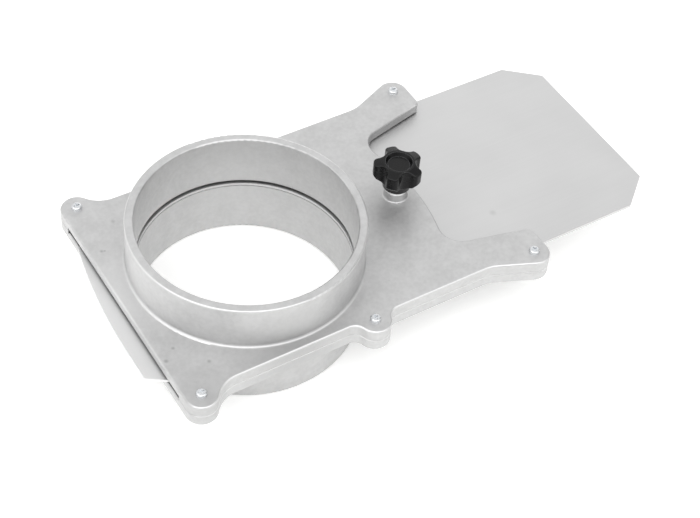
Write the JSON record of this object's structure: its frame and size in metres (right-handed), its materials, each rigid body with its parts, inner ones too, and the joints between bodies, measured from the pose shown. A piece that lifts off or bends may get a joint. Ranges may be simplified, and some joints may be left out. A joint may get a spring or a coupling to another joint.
{
  "type": "blast gate",
  "caption": "Cast aluminium slide damper for a round dust duct: a collar on each face, a sheet slide with a round port between two screwed plates, and a star knob that locks it.",
  "frame": {"origin": "on the duct's axis, in the plane where the two castings meet", "axes": "+X along the slide towards its pull end, +Y across it, +Z along the duct towards the side with the lock knob"},
  "size_m": [0.3758, 0.1924, 0.0816],
  "materials": {
    "cast_aluminium": "as cast and tumbled to a pale satin, with small pits and faint mottling",
    "sheet_aluminium": "plain mill-finish sheet, smooth and satin",
    "black_plastic": "moulded, slightly glossy black",
    "zinc_steel": "bright zinc plate"
  },
  "bodies": {
    "case": {"upper_half": "cast_aluminium", "lower_half": "cast_aluminium", "case_screws": "zinc_steel", "case_nuts": "zinc_steel"},
    "slide": {"slide_gate": "sheet_aluminium"},
    "lock_screw": {"lock_stud": "zinc_steel"},
    "lock_handle": {"lock_knob": "black_plastic"}
  },
  "joints": [
    {"name": "slide_travel", "type": "slide", "parent": "case", "child": "slide", "axis": [-1, 0, 0], "range_m": [0, 0.155]},
    {"name": "lock_lift", "type": "slide", "parent": "case", "child": "lock_screw", "axis": [0, 0, 1], "range_m": [0, 0.0101]},
    {"name": "lock_turn", "type": "hinge", "parent": "lock_screw", "child": "lock_handle", "pos_m": [0.113, 0, 0.0158], "axis": [0, 0, 1], "range_deg": [0, 2520]}
  ],
  "couplings": [
    {"joint": "lock_lift", "follows": "lock_turn", "m_per_rad": 0.00022458}
  ]
}
